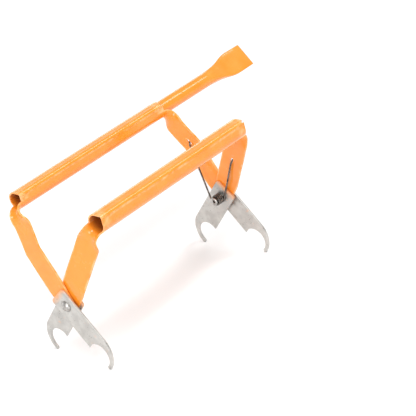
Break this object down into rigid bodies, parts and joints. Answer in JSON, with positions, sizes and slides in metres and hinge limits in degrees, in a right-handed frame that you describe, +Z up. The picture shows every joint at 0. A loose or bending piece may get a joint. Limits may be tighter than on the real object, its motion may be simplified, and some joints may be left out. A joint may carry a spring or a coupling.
{
  "type": "beehive frame grip",
  "caption": "Scissor-action beehive frame grip: two orange rolled-sheet handles with steel hook jaws, a torsion spring at one pivot and a scraper blade.",
  "frame": {"origin": "middle of the footprint, on the surface that the hook points stand on", "axes": "+X along the grips, from the near pivot to the scraper's edge; +Y from the front grip to the rear grip; +Z up"},
  "size_m": [0.3768, 0.1312, 0.1725],
  "materials": {
    "orange_paint": "gloss",
    "scraper_paint": "gloss",
    "hook_steel": "satin",
    "rivet_steel": "satin",
    "spring_wire": "satin"
  },
  "bodies": {
    "rear_handle_set": {"rear_handle": "orange_paint", "scraper": "scraper_paint", "rear_hook_near": "hook_steel", "rear_hook_far": "hook_steel", "near_rivet": "rivet_steel", "far_pivot_pin": "rivet_steel", "near_spacer": "rivet_steel", "far_spacer": "rivet_steel", "spring_rear_half": "spring_wire"},
    "front_handle_set": {"front_handle": "orange_paint", "front_hook_near": "hook_steel", "front_hook_far": "hook_steel", "spring_front_half": "spring_wire"}
  },
  "joints": [
    {"name": "squeeze", "type": "hinge", "parent": "rear_handle_set", "child": "front_handle_set", "pos_m": [-0.06265, 0.00108, 0.06276], "axis": [-1, 0, 0], "range_deg": [0, 35], "stiffness_Nm_per_rad": 0.6, "springref_deg": -34.38}
  ]
}
